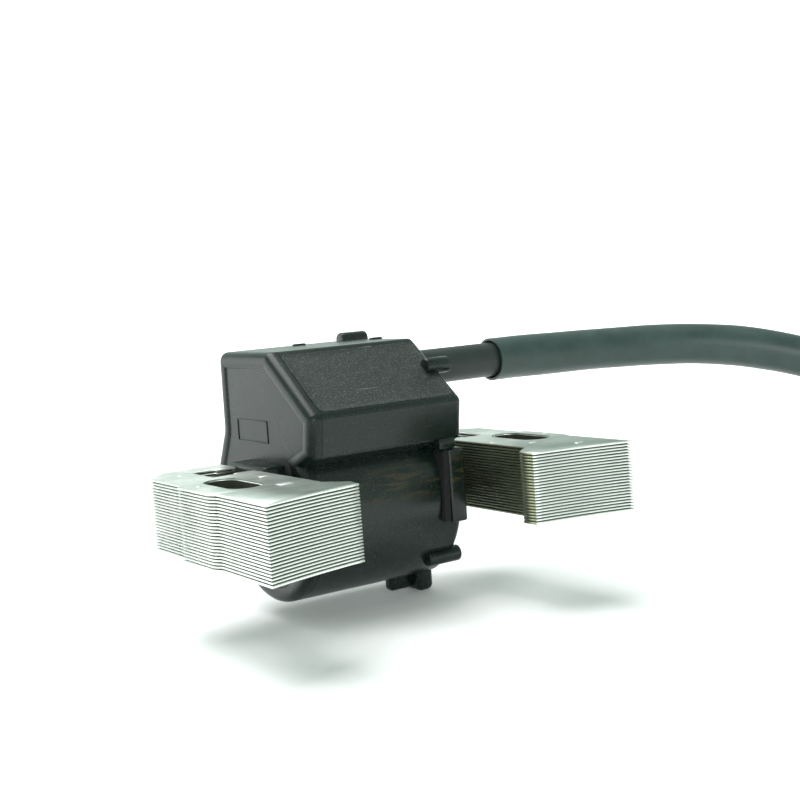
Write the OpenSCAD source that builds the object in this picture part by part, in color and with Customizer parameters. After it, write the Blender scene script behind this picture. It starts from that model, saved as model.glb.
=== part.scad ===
// Flywheel ignition coil for a small engine: a U-shaped laminated core with a moulded coil
// module on its crossbar, and a short high-tension lead with a protective sleeve and plug cap.
// Frame: X along the crossbar, Y from the pole faces to the back, Z up through the stack.
// The origin is under the middle of the module and core, on the surface that they stand on.

/* [Core] */
// Width of the core over the shoulders beside the bolt slots
core_w = 74; // [72:0.1:90]
// How much narrower the core is at the pole tips
tip_inset = 0.6; // [0.2:0.1:2]
// Depth of each leg, from its outer pole tip to its back edge
leg_depth = 47.5; // [46:0.5:60]
// Width of the left leg beside the module
left_leg_w = 17; // [14:0.1:18]
// Width of the right leg beside the module
right_leg_w = 15.5; // [14:0.1:18]
// Radius of the flywheel gap that both pole faces follow
pole_r = 118; // [90:1:160]
// Width of one pole face
pole_face_w = 18.9; // [18:0.1:20]
// Thickness of one lamination
sheet_t = 0.5; // [0.4:0.05:0.6]
// Gap left by the varnish between two laminations
varnish_t = 0.02; // [0.01:0.01:0.05]
// Number of laminations in each leg
sheet_count = 24; // [18:1:28]
// Laminations left out of the crossbar at the top and at the bottom
crossbar_less = 2; // [1:1:3]
// Width of the crossbar
crossbar_w = 10.5; // [8:0.1:11]

/* [Bolt slots] */
// Width of a bolt slot
slot_w = 6.5; // [5:0.1:8]
// Length of a bolt slot, end to end
slot_len = 14; // [8:0.5:15]
// Distance between the two slots
slot_spacing = 60.5; // [58:0.5:62]

/* [Module] */
// Gap between the left leg and the module's left end face
left_gap = 4.5; // [3:0.1:6]
// Gap between the right leg and the module's right end face
right_gap = 5.2; // [3:0.1:6]
// Height of the module's upper part above the core
house_rise = 19.9; // [17:0.1:24]
// Depth of the flat top of the module
top_depth = 18.8; // [16:0.1:22]
// Radius of the round lower part
drum_r = 16.2; // [15.8:0.1:17.5]
// Wall thickness of the case
case_wall = 1.8; // [1.2:0.1:2]
// Thickness of the end cap
cap_t = 2.4; // [2:0.1:3]
// Drop of the resting foot below the round lower part
foot_drop = 3.1; // [2:0.1:5]

/* [Coil] */
// Radial build of the primary winding
primary_build = 1.3; // [1:0.1:1.4]
// Radial build of the secondary winding
secondary_build = 1; // [0.7:0.1:1.1]
// Number of sections in the secondary winding
section_count = 6; // [3:1:8]

/* [Lead] */
// Diameter of the high-tension lead
lead_d = 7; // [5:0.1:8]
// Clearance between the lead and the sleeve's bore
sleeve_clearance = 0.4; // [0.2:0.1:0.6]
// Wall thickness of the protective sleeve
sleeve_wall = 0.5; // [0.4:0.1:0.8]

/* [Plug cap] */
// Outer diameter of the cap's plug arm
cap_d = 18; // [17:0.5:22]
// Length of the cap's plug arm beyond the lead's centreline
cap_len = 46; // [42:1:60]
// Diameter of the plug's terminal nut, which the clip takes
nut_d = 6.4; // [4:0.1:6.6]
// Diameter of the plug's insulator, which the seal takes
insulator_d = 11; // [10:0.1:12.5]

/* [Hidden] */

$fn = 64;
eps = 0.01;
fit = 0.15;                 // clearance of moulded parts around what passes through them

// Stack
pitch = sheet_t + varnish_t;
stack_h = sheet_count * pitch - varnish_t;
crossbar_h = (sheet_count - 2 * crossbar_less) * pitch - varnish_t;

crossbar_y = leg_depth - 9.25;
crossbar_z = stack_h / 2;

// Module section, in Y and Z from the outer pole tip and the underside of the stack
drum = [crossbar_y + 1.25, crossbar_z - 2.7];   // centre of the round lower part
house_front = drum[0] - 18.1;
house_top = stack_h + house_rise;
house_back = drum[0] + 14.9;
lip_z = stack_h + 1.9;      // underside of the module's front overhang
slope_z = stack_h + 9.1;    // where the front face meets the slope
foot_z = drum[1] - drum_r - foot_drop;
module_back = house_back + 4.5;

// The whole part stands with its foot at Z 0 and its depth centred on Y 0
base = [0, -module_back / 2, -foot_z];

// Core
shoulder_x = core_w / 2;
tip_x = shoulder_x - tip_inset;
gap_left = -shoulder_x + left_leg_w;
gap_right = shoulder_x - right_leg_w;
slot_y = 24;                // centre of the bolt slots
slot_x = [-slot_spacing / 2 + 0.75, slot_spacing / 2 + 0.75];
tongue_in = 8.2;            // how far the crossbar's tongue runs into a leg
tongue_w = crossbar_w - 3.6;
head_w = crossbar_w - 1.2;
head_len = 4.4;

// Module ends
case_left = gap_left + left_gap;
case_right = gap_right - right_gap;
cap_inner = case_left + cap_t;

// Coil on the crossbar, in radii about the crossbar's centreline
core_hole = [crossbar_w + 2 * fit, crossbar_h + 2 * fit];
spool_r = norm(core_hole) / 2 + 0.6;
primary_r = spool_r + primary_build;
tube_r = primary_r + 0.3;
tube_t = 0.7;
section_r = tube_r + tube_t + secondary_build;
flange_t = 0.8;
coil_x0 = cap_inner + 0.3;
coil_x1 = case_right - case_wall - 0.3;
coil_len = coil_x1 - coil_x0;

// Blade for the stop switch wire: its size and its lower corner
blade = [6.3, 0.8, 13];
blade_at = [case_left + 9.6, module_back - 3, stack_h - 1.6];

// Board inside the upper part
board = [22, 22, 1.6];
board_pos = [case_left + 5, house_front + 6, crossbar_z + section_r + 2.4];
board_top = board_pos[2] + board[2];

// Route of the lead's centreline, in the part's frame. It starts inside the module, leaves the
// collar along +X, bends forwards in the air, sinks to the surface, and runs round to the cap.
lead_route = [
    [14.6, 16.5, 41.5], [23, 16.5, 41.5], [29, 16.5, 41.5], [35.5, 16.5, 41.5], [42, 16.5, 41.5],
    [49.5, 16.2, 41.5], [57, 15.2, 41.4], [64.5, 13.5, 41.4], [72, 11.2, 41.3], [79, 8.2, 41.2],
    [85.5, 4.8, 40.9], [90.5, 1.6, 40.4], [95.5, -1.9, 39.6], [100, -5.8, 38.4], [104.5, -10, 36.8],
    [108.5, -14.6, 34.8], [113, -20, 31.6], [117.8, -25.6, 27.6], [122.4, -31, 23.2],
    [127, -36.5, 18.7], [133, -42, 14], [140.3, -46, 9.9], [148.3, -48.3, 6.8], [156.6, -48.5, 4.8],
    [164.6, -46.6, 3.8], [172, -42.8, 3.6], [178.3, -37.4, 4.2], [183, -30.6, 5.8],
    [186, -22.4, 7.8], [187, -14, 9], [187, 0, 9]
];
exit_point = lead_route[1];
lead_mouth = lead_route[len(lead_route) - 2];
lead_r = lead_d / 2;
lead_bore_r = lead_r + 0.05;
lead_y = exit_point[1] - base[1];
lead_z = exit_point[2] - base[2];
collar_len = exit_point[0] - case_right;
sleeve_from = 4;            // points of the route between which the sleeve covers the lead
sleeve_to = 21;
sleeve_bore_r = lead_r + sleeve_clearance;

// Plug cap, from the lead's mouth: the lead arm runs along +Y and the plug arm along +X
arm_len = 22;
arm_d = 14;
lead_in = lead_route[len(lead_route) - 1][1] - lead_mouth[1];
swivel_gap = 0.1;           // running clearance between the lead and the cap
socket_d = nut_d + 1.8;     // bore that holds the resistor and the clip
bulb_d = insulator_d + 1;   // bore that goes over the plug's insulator
bulb_len = 24;
seal_len = 5;

// ---------------------------------------------------------------- shapes

// Points of an arc about c, from angle a0 to a1
function arc(c, r, a0, a1, n = 10) =
    [for (i = [0:n]) let (a = a0 + (a1 - a0) * i / n) c + r * [cos(a), sin(a)]];

// The outline p moved inwards by d; p runs anticlockwise
function inset(p, d) = [for (i = [0:len(p) - 1]) let (
    a = p[(i + len(p) - 1) % len(p)], b = p[i], c = p[(i + 1) % len(p)],
    u = (b - a) / norm(b - a), v = (c - b) / norm(c - b),
    m = [-u[1], u[0]] + [-v[1], v[0]])
    b + d * 2 * m / (m * m)];

// The outline p with each corner rounded to the radius given for it
function rounded(p, r, n = 5) = [for (i = [0:len(p) - 1]) let (
    a = p[(i + len(p) - 1) % len(p)], b = p[i], c = p[(i + 1) % len(p)],
    u = (a - b) / norm(a - b), v = (c - b) / norm(c - b), half = acos(u * v) / 2,
    t = r[i] / tan(half), m = (u + v) / norm(u + v), o = b + m * r[i] / sin(half),
    s = b + u * t - o, e = b + v * t - o)
    each r[i] == 0 ? [b] : [for (k = [0:n]) let (w = s * (n - k) / n + e * k / n)
        o + r[i] * w / norm(w)]];

// Puts a shape drawn from the outer pole tip and the underside of the stack in the part's frame
module place() {
    translate(base) children();
}

// Extrudes an outline of Y and Z along X
module along_x(x0, x1) {
    translate([x0, 0, 0]) rotate([90, 0, 90]) linear_extrude(x1 - x0) children();
}

// A cylinder along X, from x0 to x1, about the point [y, z]
module rod_x(x0, x1, at, r) {
    translate([x0, at[0], at[1]]) rotate([0, 90, 0]) cylinder(h = x1 - x0, r = r);
}

// A tube along X
module ring_x(x0, x1, at, r_out, r_in) {
    difference() {
        rod_x(x0, x1, at, r_out);
        rod_x(x0 - 1, x1 + 1, at, r_in);
    }
}

// A slot with round ends along Y
module slot2d(c, w, l) {
    translate(c) {
        square([w, l - w], center = true);
        for (s = [-1, 1]) translate([0, s * (l - w) / 2]) circle(d = w);
    }
}

// Stack of laminations, each a separate sheet cut to the children's outline
module stack(first, last) {
    for (i = [first:last]) translate([0, 0, i * pitch]) linear_extrude(sheet_t) children();
}

// ---------------------------------------------------------------- core

// The crossbar's outline, with a headed tongue at each end that locks into a leg
module crossbar2d(grow = 0) {
    y0 = crossbar_y - crossbar_w / 2;
    translate([gap_left, y0]) square([gap_right - gap_left, crossbar_w]);
    for (side = [[gap_left, -1], [gap_right, 1]]) {
        x = side[0] + side[1] * tongue_in / 2;
        h = side[0] + side[1] * (tongue_in - head_len / 2);
        translate([x, crossbar_y]) square([tongue_in + 2 * grow, tongue_w + 2 * grow], center = true);
        translate([h, crossbar_y]) square([head_len + 2 * grow, head_w + 2 * grow], center = true);
    }
}

// One leg's outline on the +X side, with its inner side at x = inner
module leg2d(inner) {
    lip = tip_x - pole_face_w;
    difference() {
        polygon(concat(
            [[tip_x, -2], [tip_x - 0.2, 15.6]],
            arc([shoulder_x - 3, 18.6], 3, -40, 0, 6),
            [[shoulder_x, 29.2], [shoulder_x - 1.2, 30.3], [shoulder_x - 1.2, leg_depth - 4.7],
             [shoulder_x - 5.5, leg_depth], [inner, leg_depth], [inner, 11.4],
             [lip + 0.4, 8.4], [lip - 0.3, 7.4], [lip, 3], [lip, -2]]));
        translate([0, -sqrt(pole_r * pole_r - tip_x * tip_x)]) circle(r = pole_r, $fn = 240);
    }
}

// Small dashes punched half through the sheets, which lock the stack together
module dashes(points) {
    for (p = points) translate([p[0], p[1], stack_h - 0.25]) rotate([0, 0, p[2]])
        cube([0.5, 1.9, 0.6], center = true);
}

module left_leg_laminations() {
    color("silver") place() difference() {
        stack(0, sheet_count - 1) difference() {
            mirror([1, 0]) leg2d(-gap_left);
            slot2d([slot_x[0], slot_y], slot_w, slot_len);
            crossbar2d(0.03);
        }
        dashes([[-29.5, 44.6, 70], [-26, 44.3, 70], [-34.9, 26.3, 10], [-34.9, 22.5, 10],
                [-23.2, 26.5, 0], [-24.7, 14.5, 0]]);
    }
}

module right_leg_laminations() {
    color("silver") place() difference() {
        stack(0, sheet_count - 1) difference() {
            leg2d(gap_right);
            slot2d([slot_x[1], slot_y], slot_w, slot_len);
            crossbar2d(0.03);
        }
        dashes([[25, 25, -10], [25.8, 13.5, -10], [29.2, 7.2, -75], [36, 23, -10],
                [29.5, 44.6, -70], [26, 44.3, -70]]);
    }
}

module crossbar_laminations() {
    color("dimgray") place()
        stack(crossbar_less, sheet_count - 1 - crossbar_less) crossbar2d();
}

// ---------------------------------------------------------------- coil

// Window for the crossbar, through everything that it passes
module crossbar_window(x0, x1, extra = 0) {
    translate([x0, crossbar_y - core_hole[0] / 2 - extra, crossbar_z - core_hole[1] / 2 - extra])
        cube([x1 - x0, core_hole[0] + 2 * extra, core_hole[1] + 2 * extra]);
}

coil_at = [crossbar_y, crossbar_z];

module primary_bobbin() {
    color("ivory") place() difference() {
        union() {
            rod_x(coil_x0, coil_x1, coil_at, spool_r);
            rod_x(coil_x0, coil_x0 + flange_t, coil_at, primary_r);
            rod_x(coil_x1 - flange_t, coil_x1, coil_at, primary_r);
        }
        crossbar_window(coil_x0 - 1, coil_x1 + 1);
    }
}

module primary_winding() {
    color("chocolate") place()
        ring_x(coil_x0 + flange_t + 0.1, coil_x1 - flange_t - 0.1, coil_at,
               primary_r - 0.1, spool_r + 0.05);
}

section_len = (coil_len - flange_t) / section_count;

module secondary_bobbin() {
    color("whitesmoke") place() difference() {
        union() {
            rod_x(coil_x0, coil_x1, coil_at, tube_r + tube_t);
            for (i = [0:section_count]) let (x = coil_x0 + i * section_len)
                rod_x(x, x + flange_t, coil_at, section_r);
        }
        rod_x(coil_x0 - 1, coil_x1 + 1, coil_at, tube_r);
    }
}

module secondary_winding() {
    color("peru") place() for (i = [0:section_count - 1])
        let (x = coil_x0 + i * section_len + flange_t)
            ring_x(x + 0.1, x + section_len - flange_t - 0.1, coil_at,
                   section_r - 0.2, tube_r + tube_t + 0.05);
}

// ---------------------------------------------------------------- module case

// Section of the upper part: front overhang, slope, flat top and flared back
house = [
    [house_front + 1.1, lip_z], [drum[0], lip_z - 8], [drum[0] + 12, stack_h - 12],
    [module_back - 1, stack_h - 10], [module_back, stack_h - 2.5],
    [house_back + 0.4, stack_h + 5.5], [house_back, house_top],
    [house_back - top_depth, house_top], [house_front, slope_z]
];
house_radii = [0.6, 0, 0, 1.5, 1.5, 3, 1.6, 1.2, 1.2];

module house2d(wall = 0) {
    polygon(rounded(inset(house, wall), [for (r = house_radii) max(r - wall, 0)]));
}

module section2d(wall = 0) {
    house2d(wall);
    translate(drum) circle(r = drum_r - wall, $fn = 96);
}

// Half-round lugs around the right end, where the two moulds meet
lugs = [
    [13, 28.2, stack_h + 14.9, 5.2, 1.5], [10.4, house_back - 1.6, house_top, 5.9, 1.5],
    [10.6, house_front + 1.4, lip_z - 0.7, 3.6, 1.2], [10, 27.6, -7.7, 7.2, 1.5]
];

// The opening in the slope through which the case is filled
slope_dir = (house[7] - house[8]) / norm(house[7] - house[8]);
slope_angle = atan2(slope_dir[1], slope_dir[0]);
slope_len = norm(house[7] - house[8]);
fill_margin = 2.2;

module fill_block(x0, x1, grow, depth) {
    translate([x0 - grow, house_front, slope_z]) rotate([slope_angle, 0, 0])
        translate([0, fill_margin - grow, -depth])
            cube([x1 - x0 + 2 * grow, slope_len - 2 * fill_margin + 2 * grow, depth + 1]);
}

fill_x0 = cap_inner;
fill_x1 = case_right - 1.4;

module coil_case() {
    color("darkslategray") place() difference() {
        union() {
            along_x(cap_inner, case_right) section2d();
            for (l = lugs) rod_x(l[0], l[0] + l[3], [l[1], l[2]], l[4]);
            // Resting foot under the right end, with its web
            translate([case_right - 3.2, drum[0] - 4.5, foot_z])
                cube([3.6, 6, foot_drop + 3]);
            translate([case_right - 8, drum[0] - 1.5, foot_z + 1.6]) cube([6, 2, foot_drop + 1]);
            // Raised plate beside the dark slot on the front of the round part
            translate([case_right - 3.6, house_front + 0.9, stack_h - 13.4])
                cube([3.6, 8, 13.5]);
        }
        along_x(cap_inner - 1, case_right - case_wall) section2d(case_wall);
        crossbar_window(case_right - case_wall - 1, case_right + 1);
        // Tapering slot between the round part and the raised plate
        translate([case_right - 5, house_front - 1, stack_h - 13.2]) rotate([0, 3, 0])
            cube([1.5, 3.6, 12.6]);
        fill_block(fill_x0 - 1, fill_x1, 0.02, case_wall + 1.2);
        // Bore for the lead, and slit for the stop terminal
        rod_x(case_right - case_wall - 1, case_right + 1, [lead_y, lead_z], lead_bore_r);
        translate([blade_at[0] - 0.2, blade_at[1] - 0.2, blade_at[2] - 0.5])
            cube([blade[0] + 0.4, blade[1] + 0.4, blade[2]]);
    }
}

module end_cap() {
    edge = 1.3;
    color("darkslategray") place() difference() {
        union() {
            along_x(case_left + edge, cap_inner - 0.05) section2d();
            along_x(case_left + edge / 3, case_left + edge + eps) section2d(edge / 4);
            along_x(case_left, case_left + edge / 3 + eps) section2d(edge * 0.6);
            // Sleeve round the crossbar, up to the leg
            translate([gap_left + 0.3, crossbar_y - crossbar_w / 2 - 1.6,
                       crossbar_z - crossbar_h / 2 - 1.6])
                cube([case_left - gap_left, crossbar_w + 3.2, crossbar_h + 3.2]);
        }
        crossbar_window(gap_left - 1, cap_inner + 2);
    }
}

module potting_resin() {
    color("darkolivegreen") place() intersection() {
        fill_block(fill_x0, fill_x1, 0, case_wall);
        along_x(cap_inner, case_right) section2d();
    }
}

// ---------------------------------------------------------------- electronics

module on_board(p) {
    translate([board_pos[0] + p[0], board_pos[1] + p[1], board_top + 0.05]) children();
}

// Places of the through pins, on the board
pin_xy = [[1.5, 20.5], [5.5, 20.5], [9.5, 20.5], [13.5, 20.5], [17.5, 20.5], [20.5, 20.5]];

module circuit_board() {
    color("forestgreen") place() difference() {
        translate(board_pos) cube(board);
        for (p = pin_xy) translate([board_pos[0] + p[0], board_pos[1] + p[1], board_pos[2] - 1])
            cylinder(h = board[2] + 2, d = 0.9, $fn = 16);
    }
}

module power_transistor() {
    color("dimgray") place() on_board([1, 9]) {
        cube([9.5, 8.5, 3.6]);
        translate([0.5, 8.5, 0]) cube([8.5, 0.6, 1.2]);
    }
}

module trigger_transistor() {
    color("black") place() on_board([12.5, 5.5]) difference() {
        cylinder(h = 2.6, d = 4.4);
        translate([-3, 1.4, -1]) cube([6, 3, 5]);
    }
}

module resistors() {
    color("tan") place() for (y = [10.5, 13.3, 16.1]) on_board([12.5, y])
        translate([0, 0, 0.9]) rotate([0, 90, 0]) {
            cylinder(h = 6, d = 1.8, $fn = 24);
            translate([0, 0, -0.4]) cylinder(h = 0.8, d = 1.75, $fn = 24);
        }
}

module capacitor() {
    color("orange") place() on_board([16.4, 2.2]) difference() {
        cube([4.8, 3, 3.4]);
        translate([-1, -1, 3]) cube([7, 1.4, 1]);
    }
}

module diodes() {
    color("darkred") place() for (x = [2, 5.5, 9]) on_board([x, 2.5])
        translate([0, 0, 0.8]) rotate([-90, 0, 0]) cylinder(h = 3.6, d = 1.6, $fn = 24);
}

module solder_pins() {
    color("lightsteelblue") place() for (p = pin_xy)
        translate([board_pos[0] + p[0], board_pos[1] + p[1], board_pos[2] - 1.2])
            cylinder(h = board[2] + 2, d = 0.7, $fn = 16);
}

// Screw that carries the high voltage from the secondary into the lead's core
module hv_terminal_pin() {
    color("gold") place() {
        translate([case_right - 8.3, lead_y, lead_z]) rotate([0, 90, 0])
            cylinder(h = 1, d = 5);
        translate([case_right - 7.4, lead_y, lead_z]) rotate([0, 90, 0])
            cylinder(h = 5.4, d1 = 2, d2 = 1.2);
    }
}

// Strap that earths the board on the core
module ground_strap() {
    color("goldenrod") place() {
        x = case_right + 0.1;
        translate([x, crossbar_y - 3, stack_h - crossbar_less * pitch + 0.3])
            cube([gap_right - x - 0.4, 5, 0.6]);
        translate([x, crossbar_y - 3, stack_h - crossbar_less * pitch + 0.3]) cube([0.6, 5, 8]);
    }
}

// Blade for the stop switch wire, which stands up out of the flare at the back
module stop_terminal() {
    color("lightgray") place() translate(blade_at) difference() {
        cube(blade);
        translate([blade[0] / 2, -1, blade[2] - 3]) rotate([-90, 0, 0])
            cylinder(h = 3, d = 1.6, $fn = 24);
    }
}

// ---------------------------------------------------------------- lead

// Collar where the lead is moulded into the case
module lead_collar() {
    color("darkslategray") place()
        translate([case_right + 0.05, lead_y, lead_z]) rotate([0, 90, 0]) difference() {
            cylinder(h = collar_len - 0.05, d1 = lead_d + 3.2, d2 = lead_d + 1.8);
            translate([0, 0, -1]) cylinder(h = collar_len + 2, r = lead_bore_r);
        }
}

// Direction of the route at point i
function heading(p, i) = let (d = p[min(i + 1, len(p) - 1)] - p[max(i - 1, 0)]) d / norm(d);

// Corner k of n on the ring of radius r about point i, square to the route
function ring_point(p, i, r, k, n) = let (
    t = heading(p, i), side = cross(t, [0, 0, 1]) / norm(cross(t, [0, 0, 1])),
    up = cross(side, t), a = 360 * (k + 0.5) / n)
    p[i] + r * (cos(a) * side + sin(a) * up);

// Solid cord of radius r swept along the points p
module cord(p, r, n = 12) {
    rings = len(p);
    points = [for (i = [0:rings - 1], k = [0:n - 1]) ring_point(p, i, r, k, n)];
    sides = [for (i = [0:rings - 2], k = [0:n - 1]) let (a = i * n + k, b = i * n + (k + 1) % n)
        each [[a, b, b + n], [a, b + n, a + n]]];
    polyhedron(points, concat(sides, [[for (k = [n - 1:-1:0]) k]],
        [[for (k = [0:n - 1]) (rings - 1) * n + k]]));
}

// Tube of outer radius r and inner radius q swept along the points p
module cord_tube(p, r, q, n = 12) {
    rings = len(p);
    m = rings * n;
    points = [for (s = [r, q], i = [0:rings - 1], k = [0:n - 1]) ring_point(p, i, s, k, n)];
    sides = [for (i = [0:rings - 2], k = [0:n - 1]) let (a = i * n + k, b = i * n + (k + 1) % n)
        each [[a, b, b + n], [a, b + n, a + n],
              [a + m, b + n + m, b + m], [a + m, a + n + m, b + n + m]]];
    ends = [for (k = [0:n - 1]) let (a = k, b = (k + 1) % n, z = (rings - 1) * n)
        each [[a, a + m, b + m], [a, b + m, b], [z + a, z + b, z + b + m], [z + a, z + b + m, z + a + m]]];
    polyhedron(points, concat(sides, ends));
}

module ht_lead() {
    color("dimgray") cord(lead_route, lead_r);
}

module lead_sleeve() {
    color("slategray")
        cord_tube([for (i = [sleeve_from:sleeve_to]) lead_route[i]],
                  sleeve_bore_r + sleeve_wall, sleeve_bore_r);
}

// ---------------------------------------------------------------- plug cap

module cap_at() {
    translate(lead_mouth) children();
}

// A cylinder along +Y from the mouth that the lead goes into
module rod_y(y0, y1, d1, d2) {
    translate([0, y0, 0]) rotate([-90, 0, 0]) cylinder(h = y1 - y0, d1 = d1, d2 = d2);
}

// A cylinder along +X on the plug arm, measured from the lead's centreline
module rod_plug(x0, x1, d1, d2) {
    translate([x0, arm_len, 0]) rotate([0, 90, 0]) cylinder(h = x1 - x0, d1 = d1, d2 = d2);
}

lead_seal_len = 2;
socket_x0 = -4;             // closed end of the plug arm's bore
resistor_len = 12.3;
clip_x0 = socket_x0 + resistor_len + 0.3;
clip_len = 13;
contact_y0 = lead_in + 0.4;

module plug_cap() {
    color("darkslategray") cap_at() difference() {
        union() {
            rod_y(lead_seal_len, arm_len, arm_d, arm_d + 1);
            rod_plug(-8, 20, 15, 16);
            rod_plug(20, cap_len - seal_len, cap_d, cap_d);
        }
        rod_y(lead_seal_len - 1, lead_in + 0.3, lead_d + 2 * swivel_gap, lead_d + 2 * swivel_gap);
        rod_y(lead_in, arm_len, 3, 3);
        rod_plug(socket_x0, cap_len, socket_d, socket_d);
        rod_plug(cap_len - bulb_len, cap_len, bulb_d, bulb_d);
    }
}

module cap_lead_seal() {
    color("black") cap_at() difference() {
        rod_y(0, lead_seal_len - 0.05, arm_d - 1, arm_d);
        rod_y(-1, lead_seal_len + 1, lead_d + 2 * swivel_gap, lead_d + 2 * swivel_gap);
    }
}

module cap_plug_seal() {
    color("black") cap_at() difference() {
        rod_plug(cap_len - seal_len + 0.05, cap_len, cap_d, cap_d - 1.5);
        rod_plug(cap_len - seal_len - 1, cap_len + 1, insulator_d, insulator_d);
    }
}

module cap_contact_screw() {
    color("gold") cap_at() rod_y(contact_y0, arm_len - socket_d / 2 - 0.05, 2.9, 2.9);
}

module cap_resistor() {
    color("white") cap_at()
        rod_plug(socket_x0 + 0.2, socket_x0 + 0.2 + resistor_len, socket_d - 0.1, socket_d - 0.1);
}

module cap_terminal_clip() {
    color("gold") cap_at() difference() {
        rod_plug(clip_x0, clip_x0 + clip_len, socket_d - 0.1, socket_d - 0.1);
        rod_plug(clip_x0 + 1.4, clip_x0 + clip_len + 1, nut_d, nut_d);
    }
}

left_leg_laminations();
right_leg_laminations();
crossbar_laminations();
primary_bobbin();
primary_winding();
secondary_bobbin();
secondary_winding();
coil_case();
end_cap();
potting_resin();
circuit_board();
power_transistor();
trigger_transistor();
resistors();
capacitor();
diodes();
solder_pins();
hv_terminal_pin();
ground_strap();
stop_terminal();
lead_collar();
ht_lead();
lead_sleeve();
plug_cap();
cap_resistor();
cap_contact_screw();
cap_terminal_clip();
cap_lead_seal();
cap_plug_seal();
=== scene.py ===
"""The looks of a flywheel ignition coil: laminated core, moulded module, lead and plug cap."""
import math

import bpy
import numpy as np
from mathutils import Matrix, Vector
from mathutils.geometry import tessellate_polygon


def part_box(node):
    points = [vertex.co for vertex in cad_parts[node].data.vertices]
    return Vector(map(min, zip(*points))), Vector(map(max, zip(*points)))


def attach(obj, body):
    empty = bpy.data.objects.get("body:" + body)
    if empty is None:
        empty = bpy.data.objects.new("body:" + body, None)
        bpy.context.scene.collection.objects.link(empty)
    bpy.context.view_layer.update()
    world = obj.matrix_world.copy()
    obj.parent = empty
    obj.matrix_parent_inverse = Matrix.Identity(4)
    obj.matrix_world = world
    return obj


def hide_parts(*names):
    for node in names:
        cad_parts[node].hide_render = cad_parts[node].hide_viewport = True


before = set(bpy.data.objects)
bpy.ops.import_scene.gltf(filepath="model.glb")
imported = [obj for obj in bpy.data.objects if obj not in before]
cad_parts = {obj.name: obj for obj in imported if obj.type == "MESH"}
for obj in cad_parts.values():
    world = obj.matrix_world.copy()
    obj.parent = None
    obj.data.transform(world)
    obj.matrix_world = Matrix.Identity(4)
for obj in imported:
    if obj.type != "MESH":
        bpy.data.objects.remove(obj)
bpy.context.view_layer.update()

bl_info = {
    "name": "Ignition coil",
    "version": (1, 0, 0),
    "blender": (4, 5, 0),
    "location": "View3D > Sidebar > Coil",
    "description": "Builds the looks of a flywheel ignition coil around its packed parts",
    "category": "Object",
}

# ------------------------------------------------------------------ sizes, in millimetres
# Sections are drawn in Y and Z from the outer pole tips and the underside of the stack, as the
# part's own are, and place() moves them into the frame.
MM = 0.001
LEG_LOW, LEG_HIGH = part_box("left_leg_laminations")
BAR_LOW, BAR_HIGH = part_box("crossbar_laminations")
COLLAR_LOW, COLLAR_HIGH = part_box("lead_collar")
BASE = np.array([0.0, LEG_LOW.y, LEG_LOW.z])
STACK_H = (LEG_HIGH.z - LEG_LOW.z) / MM
SHEETS = 24
VARNISH = 0.02              # gap between two sheets
SHEET_T = (STACK_H + VARNISH) / SHEETS - VARNISH
PITCH = SHEET_T + VARNISH
SHEET_GAP = 0.088           # what the punch's rounded edges add to the gap that shows
CORE_IN = 0.45              # how far the near-black core of painted shade lies behind the sheets' edges
SHOULDER_X = -LEG_LOW.x / MM
LEG_DEPTH = (LEG_HIGH.y - LEG_LOW.y) / MM
INNER_X = (20.0, 21.5)      # inner side of the left and of the right leg's neck
POLE_R = 118.0              # radius of the flywheel gap
POLE_W = 18.9
POLE_STEPS = 12
BAR_Y = LEG_DEPTH - 9.25
BAR_W = (BAR_HIGH.y - BAR_LOW.y) / MM
BAR_Z = STACK_H / 2
TONGUE_IN = 8.2             # how far the crossbar's tongue goes into a leg
TONGUE_W = BAR_W - 3.6
HEAD_W = BAR_W - 1.2
HEAD_LEN = 4.4
SLOT_W = 6.5
SLOT_LEN = 14.0
SLOT_Y = 24.0
SLOT_X = (29.5, 31.0)       # distance of the left and of the right bolt slot from the middle
CAP_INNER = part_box("potting_resin")[0].x / MM
CASE_LEFT = CAP_INNER - 2.4
CASE_RIGHT = COLLAR_LOW.x / MM - 0.05
DRUM_Y = BAR_Y + 1.25       # middle and radius of the module's round lower part
DRUM_Z = BAR_Z - 2.7
DRUM_R = 16.2
HOUSE_FRONT = DRUM_Y - 18.1
HOUSE_BACK = DRUM_Y + 14.9
HOUSE_TOP = STACK_H + 19.9
TOP_DEPTH = 18.8
MODULE_BACK = HOUSE_BACK + 4.5
LIP_Z = STACK_H + 1.9       # ledge under the front, and the foot of the slope
SLOPE_Z = STACK_H + 9.1
FLOOR_Z = -LEG_LOW.z / MM
LEAD_R = 3.5
SLEEVE_R = 4.4
SLEEVE_BORE_R = 3.9

# Raised marks on each leg's top sheet, drawn on the +X side: X, Y, length in X and in Y
LEG_MARKS = (
    ((22.6, 26.3, 1.8, 1.0), (24.6, 15.4, 2.6, 1.8), (34.5, 26.4, 0.9, 0.8),
     (31.0, 41.1, 1.0, 0.6)),
    ((22.9, 22.1, 1.2, 0.8), (35.8, 22.6, 1.2, 0.8), (26.3, 14.9, 1.6, 0.9),
     (30.2, 6.8, 1.8, 0.9)))

# Half-round mould lugs on the case: X of both ends, Y and Z of the middle, and radius
LUGS = (
    (13.0, 18.2, 28.2, HOUSE_TOP - 5.0, 1.5), (10.4, 16.3, HOUSE_BACK - 1.6, HOUSE_TOP, 1.5),
    (10.6, 14.2, HOUSE_FRONT + 1.4, LIP_Z - 0.7, 1.2), (10.0, 17.2, 27.6, -7.7, 1.5))

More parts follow.
